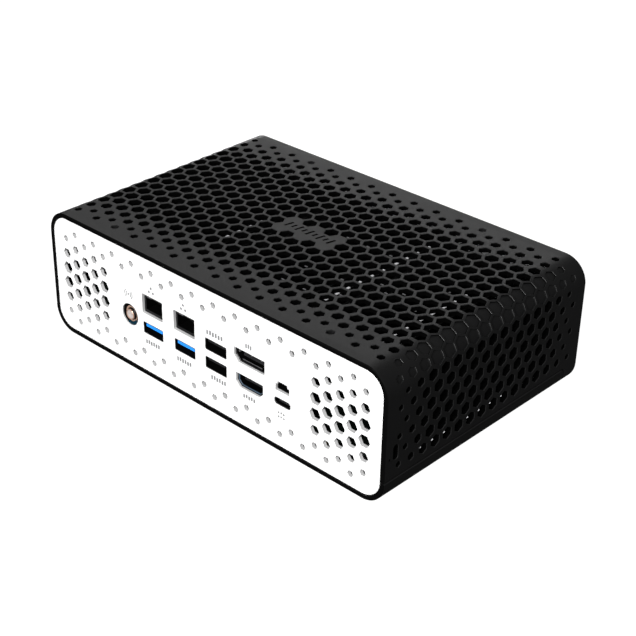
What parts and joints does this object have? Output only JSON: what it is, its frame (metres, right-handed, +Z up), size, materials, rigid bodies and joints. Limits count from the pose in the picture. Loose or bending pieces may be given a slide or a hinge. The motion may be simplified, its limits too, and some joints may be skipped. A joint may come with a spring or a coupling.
{
  "type": "mini pc",
  "caption": "Flat rounded fanless mini PC: black honeycomb hood and tray, white port panels at both ends, sockets, power button, thumbscrews, finned heatsink and boards inside.",
  "frame": {"origin": "on the floor plane under the middle of the box, level with the undersides of the feet", "axes": "+Z up; -Y is the end with the network, USB and display sockets; +Y is the end with the power button; +X is the side with the lock slot"},
  "size_m": [0.204, 0.129, 0.068],
  "materials": {
    "black_plastic": "fine satin",
    "white_plastic": "smooth satin white",
    "rubber": "matte",
    "steel": "plain sheet, nickel plated",
    "gold": "gold plated",
    "brass": "turned",
    "copper": "bare copper",
    "aluminium": "extruded, bare",
    "blue_plastic": "moulded blue",
    "port_plastic": "moulded black",
    "board_green": "dark solder mask",
    "module_green": "green solder mask",
    "chip": "moulded package",
    "pad_grey": "soft pad",
    "light_lens": "clear light guide",
    "dielectric": "pearly white",
    "lead_black": "jacket",
    "drive_metal": "satin"
  },
  "bodies": {
    "case": {"antenna_lead": "lead_black", "antenna_nut": "gold", "antenna_pin": "dielectric", "antenna_socket": "gold", "bottom_tray": "black_plastic", "button_light_ring": "light_lens", "button_switch": "port_plastic", "card_reader": "steel", "coin_cell": "steel", "cold_plate": "copper", "display_port": "steel", "drive_bracket": "steel", "foot_front_left": "rubber", "foot_front_right": "rubber", "foot_rear_left": "rubber", "foot_rear_right": "rubber", "front_panel": "white_plastic", "front_usb_a_port": "steel", "front_usb_c_port": "steel", "headset_jack": "port_plastic", "heat_pipe_1": "copper", "heat_pipe_2": "copper", "heatsink": "aluminium", "hood": "black_plastic", "lan_jack_left": "port_plastic", "lan_jack_right": "port_plastic", "lock_plate": "steel", "memory_module_1": "module_green", "memory_module_2": "module_green", "memory_socket_1": "port_plastic", "memory_socket_2": "port_plastic", "mini_display_port": "steel", "motherboard": "board_green", "processor": "chip", "rear_panel": "white_plastic", "side_rail_left": "steel", "side_rail_right": "steel", "solid_state_card": "module_green", "status_light": "light_lens", "storage_drive": "drive_metal", "thermal_pad": "pad_grey", "tray_post_left": "brass", "tray_post_right": "brass", "usb_black_lower_tongue": "port_plastic", "usb_black_stack_shell": "steel", "usb_black_upper_tongue": "port_plastic", "usb_blue_left_shell": "steel", "usb_blue_left_tongue": "blue_plastic", "usb_blue_right_shell": "steel", "usb_blue_right_tongue": "blue_plastic", "usb_c_power_port": "steel", "video_port": "steel", "wireless_card": "module_green"},
    "power_button_body": {"power_button": "black_plastic"},
    "thumbscrew_left_body": {"thumbscrew_left": "steel"},
    "thumbscrew_right_body": {"thumbscrew_right": "steel"},
    "latch_1_left_body": {"memory_latch_1_left": "steel"},
    "latch_1_right_body": {"memory_latch_1_right": "steel"},
    "latch_2_left_body": {"memory_latch_2_left": "steel"},
    "latch_2_right_body": {"memory_latch_2_right": "steel"}
  },
  "joints": [
    {"name": "power_button_press", "type": "slide", "parent": "case", "child": "power_button_body", "axis": [0, -1, 0], "range_m": [0, 0.0008], "stiffness_N_per_m": 1200, "springref_m": -0.0008},
    {"name": "thumbscrew_left_turn", "type": "hinge", "parent": "case", "child": "thumbscrew_left_body", "pos_m": [-0.06, -0.052, 0.0038], "axis": [0, 0, 1], "continuous": true},
    {"name": "thumbscrew_right_turn", "type": "hinge", "parent": "case", "child": "thumbscrew_right_body", "pos_m": [0.06, -0.052, 0.0038], "axis": [0, 0, 1], "continuous": true},
    {"name": "memory_latch_1_left_swing", "type": "hinge", "parent": "case", "child": "latch_1_left_body", "pos_m": [-0.075, 0.0449, 0.0214], "axis": [0, 0, -1], "range_deg": [0, 8], "stiffness_Nm_per_rad": 0.08, "springref_deg": -2.86},
    {"name": "memory_latch_1_right_swing", "type": "hinge", "parent": "case", "child": "latch_1_right_body", "pos_m": [-0.005, 0.0449, 0.0214], "axis": [0, 0, 1], "range_deg": [0, 8], "stiffness_Nm_per_rad": 0.08, "springref_deg": -2.86},
    {"name": "memory_latch_2_left_swing", "type": "hinge", "parent": "case", "child": "latch_2_left_body", "pos_m": [-0.075, 0.0079, 0.0214], "axis": [0, 0, -1], "range_deg": [0, 8], "stiffness_Nm_per_rad": 0.08, "springref_deg": -2.86},
    {"name": "memory_latch_2_right_swing", "type": "hinge", "parent": "case", "child": "latch_2_right_body", "pos_m": [-0.005, 0.0079, 0.0214], "axis": [0, 0, 1], "range_deg": [0, 8], "stiffness_Nm_per_rad": 0.08, "springref_deg": -2.86}
  ]
}
